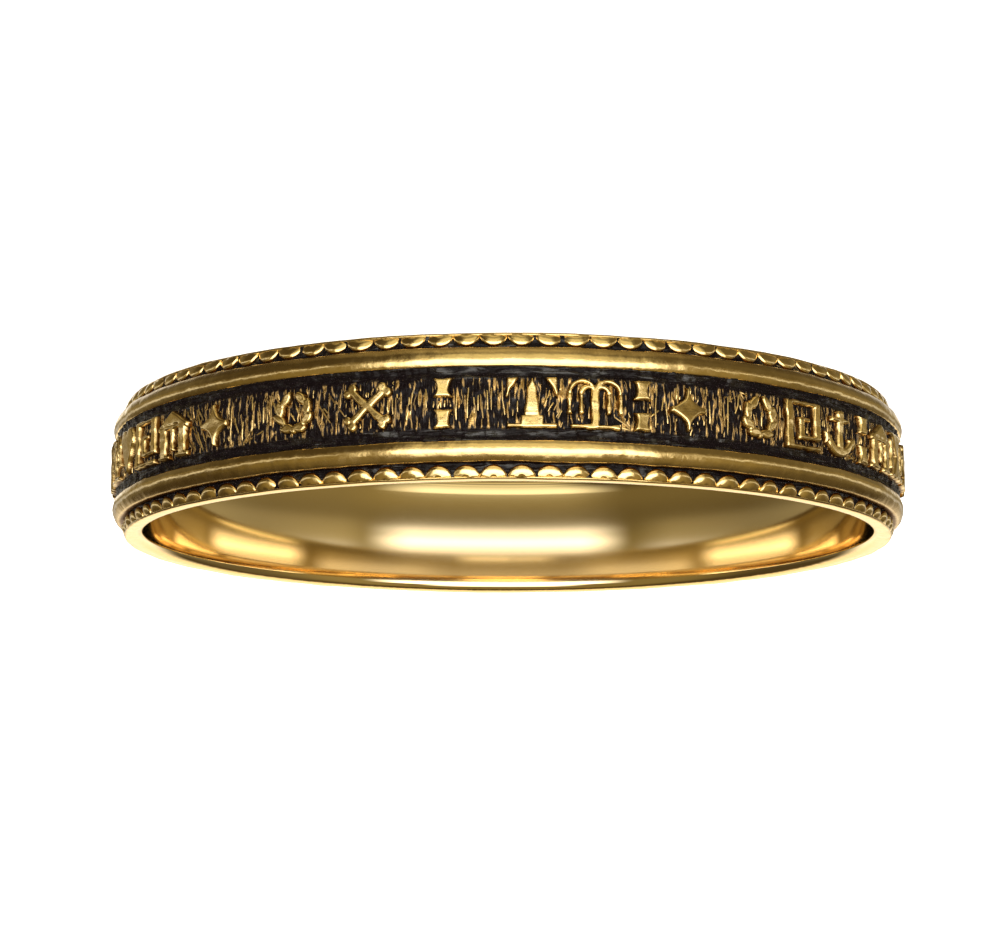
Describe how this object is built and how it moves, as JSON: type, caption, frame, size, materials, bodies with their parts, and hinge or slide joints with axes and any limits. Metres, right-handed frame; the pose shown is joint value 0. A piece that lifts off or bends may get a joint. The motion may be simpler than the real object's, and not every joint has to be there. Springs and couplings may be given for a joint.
{
  "type": "mourning ring",
  "caption": "Gold band ring with a row of raised ornaments in black enamel between two half-round rails and milled, enamelled edges.",
  "frame": {"origin": "on the ring's axis, in the plane of the lower rim, on which the ring lies", "axes": "+Z along the ring's axis, up from the rim that it lies on; -Y towards the front of the main view"},
  "size_m": [0.0196, 0.0196, 0.0032],
  "materials": {
    "gold": "polished and worn 22-carat gold",
    "black_enamel": "fired champleve enamel, glossy and a little lumpy"
  },
  "bodies": {
    "root": {"hoop": "gold", "enamel_band": "black_enamel", "upper_edge_enamel": "black_enamel", "lower_edge_enamel": "black_enamel"}
  },
  "joints": []
}
